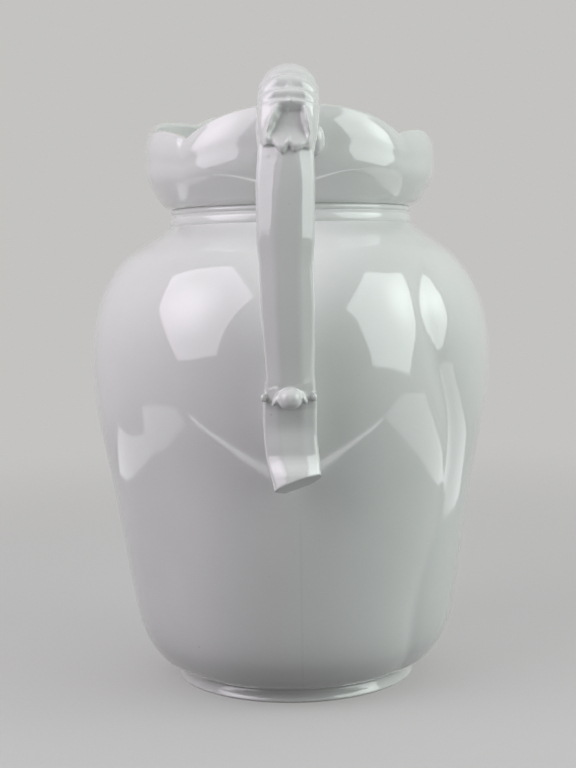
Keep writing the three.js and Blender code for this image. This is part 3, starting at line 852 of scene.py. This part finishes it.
leaf = bmesh.new()
bmesh.ops.create_grid(leaf, x_segments=leaf_columns, y_segments=leaf_rows, size=0.5)
grown = bmesh.ops.extrude_face_region(leaf, geom=leaf.faces[:])
under = {v for v in grown["geom"] if isinstance(v, bmesh.types.BMVert)}
for vert in leaf.verts:
    wrap = vert.co.x * 2 * leaf_wrap
    share = vert.co.y + 0.5
    squareness = lerp(1, leaf_squareness, eased((share - square_from) / square_soft))
    across, rise = squarer(math.sin(wrap), squareness), squarer(math.cos(wrap), squareness)
    aside = across * leaf_half_width * read(leaf_widths, share)
    run = lerp(leaf_start, leaf_tip(aside / mm) * mm, share)
    beyond = max(eased((flank_left[0] - aside / mm) / flank_left[1]),
                 eased((aside / mm - flank_right[0]) / flank_right[1]))
    thickness = read(leaf_thickness, share) * mm
    thickness -= flank_thinner * beyond * eased((share - flank_from) / flank_soft)
    top = half_thickness + thickness - leaf_middle
    if vert in under:
        aside -= math.copysign(leaf_body * abs(across), aside)
        vert.co = (aside, leaf_middle + rise * (top - leaf_body) - leaf_sink, run)
    else:
        relief = leaf_relief(aside / mm, run / mm) * mm * max(0, rise) ** relief_fade
        roll = tip_roll * bell(share, roll_share, roll_width) * max(0, rise)
        vert.co = (aside, leaf_middle + rise * top + relief + roll, run)
added(handle, bent(leaf))

# The knop: a boss over the joint of the strap and the tail, an arched ridge falling away from it
# at each side, and a bead on each edge. The last row is a rounded ear where the handle joins the
# lip. In mm: aside, out, run, then half sizes (wide, thick, tall), tilt in degrees, squareness.
knop_at = knop_run / mm
knop_parts = ((0, 7.6, knop_at, 5.2, 5.2, 4.8, 0, 0.9), (-5.7, 7, knop_at, 3.95, 2.4, 1.4, 58, 1),
              (6, 7, knop_at, 3, 2.4, 1.3, -63, 1), (-11.6, 4, knop_at, 1.3, 1.6, 1.9, 0, 1),
              (10.5, 4, knop_at, 1.3, 1.6, 1.9, 0, 1), (11.8, -1, 6, 4.6, 6, 7.4, 0, 1))
# A part that is no further along than the upper root (in mm too) is trimmed by the core
root_length = 20
for aside, out, run, wide, thick, tall, tilt, square in knop_parts:
    part = bmesh.new()
    bmesh.ops.create_uvsphere(part, u_segments=32, v_segments=20, radius=1)
    turn = Quaternion((0, 1, 0), math.radians(tilt))
    for vert in part.verts:
        x, y, z = (squarer(along, square) for along in vert.co)
        vert.co = turn @ Vector((x * wide, y * thick, z * tall)) * mm
    bmesh.ops.translate(part, vec=(aside * mm, out * mm, run * mm), verts=part.verts)
    added(handle, trimmed(bent(part)) if run < root_length else bent(part))

# The roots: flared pads that run the handle into the lip and into the belly
root_half_width = 13.2 * mm
root_flare, root_taper = 0.6, 0.5
root_back = 0.75
root_start = -2
upper_root = bmesh.new()
strap_end(upper_root)
drawn_out(upper_root, 1, cuts=14)
for vert in upper_root.verts:
    aside, out, share = vert.co
    fuller = 1 + root_flare * (1 - share) ** 2 if out > 0 else lerp(root_back, 1, share)
    wide = lerp(root_half_width, half_width, share ** root_taper)
    vert.co = (aside / half_width * wide, out * fuller,
               lerp(root_start, root_length, share) * mm)
added(handle, trimmed(bent(upper_root)))

pad_bottom, pad_top = knop_height - 31 * mm, knop_height + 15 * mm
pad_inner, pad_outer = belly_radius - 10 * mm, 111 * mm
pad_half_width = 9.6 * mm
pad_flare, flare_end = 0.5, 1.3
pad_squareness = 0.25
lower_root = bmesh.new()
bmesh.ops.create_circle(lower_root, cap_ends=True, segments=40, radius=1)
drawn_out(lower_root, 1, cuts=16)
for vert in lower_root.verts:
    aside, up, share = vert.co
    flare = 1 + pad_flare * (1 - eased(share * flare_end)) ** 2
    squared = max(abs(aside), abs(up)) ** pad_squareness
    rise = up / squared * (pad_top - pad_bottom) / 2 * lerp(1, flare, 0.5)
    vert.co = (aside / squared * pad_half_width * flare, -lerp(pad_inner, pad_outer, share),
               (pad_bottom + pad_top) / 2 + rise)
bmesh.ops.recalc_face_normals(lower_root, faces=lower_root.faces[:])
added(handle, trimmed(lower_root))

handle = through_modifiers(handle, ("REMESH", {"mode": "VOXEL", "voxel_size": handle_voxel,
                                               "use_smooth_shade": True}),
                           ("SMOOTH", {"factor": 0.5, "iterations": 3}))
bpy.data.objects.remove(core_piece)

# A hand-pressed surface is uneven: slightly along the strap, more on the leaf and the knop
plain_uneven, carved_uneven = 0.01, 0.07
broad_uneven, fine_uneven = 3.2 * mm, 1.7 * mm
carved_from, carved_soft = 250 * mm, 12 * mm
knop_reach = 7 * mm
handle.normal_update()
for vert in handle.verts:
    carved = max(eased((vert.co.z - carved_from) / carved_soft),
                 bell(vert.co.z, knop_height, knop_reach))
    uneven = noise.noise(vert.co / broad_uneven) + 0.5 * noise.noise(vert.co / fine_uneven)
    vert.co += vert.normal * uneven * lerp(plain_uneven, carved_uneven, carved) * mm
finished(handle, "handle", ironstone, "handle_upper_root", "handle_stem", "handle_leaf",
         "handle_knop", "handle_tail", "handle_lower_root")
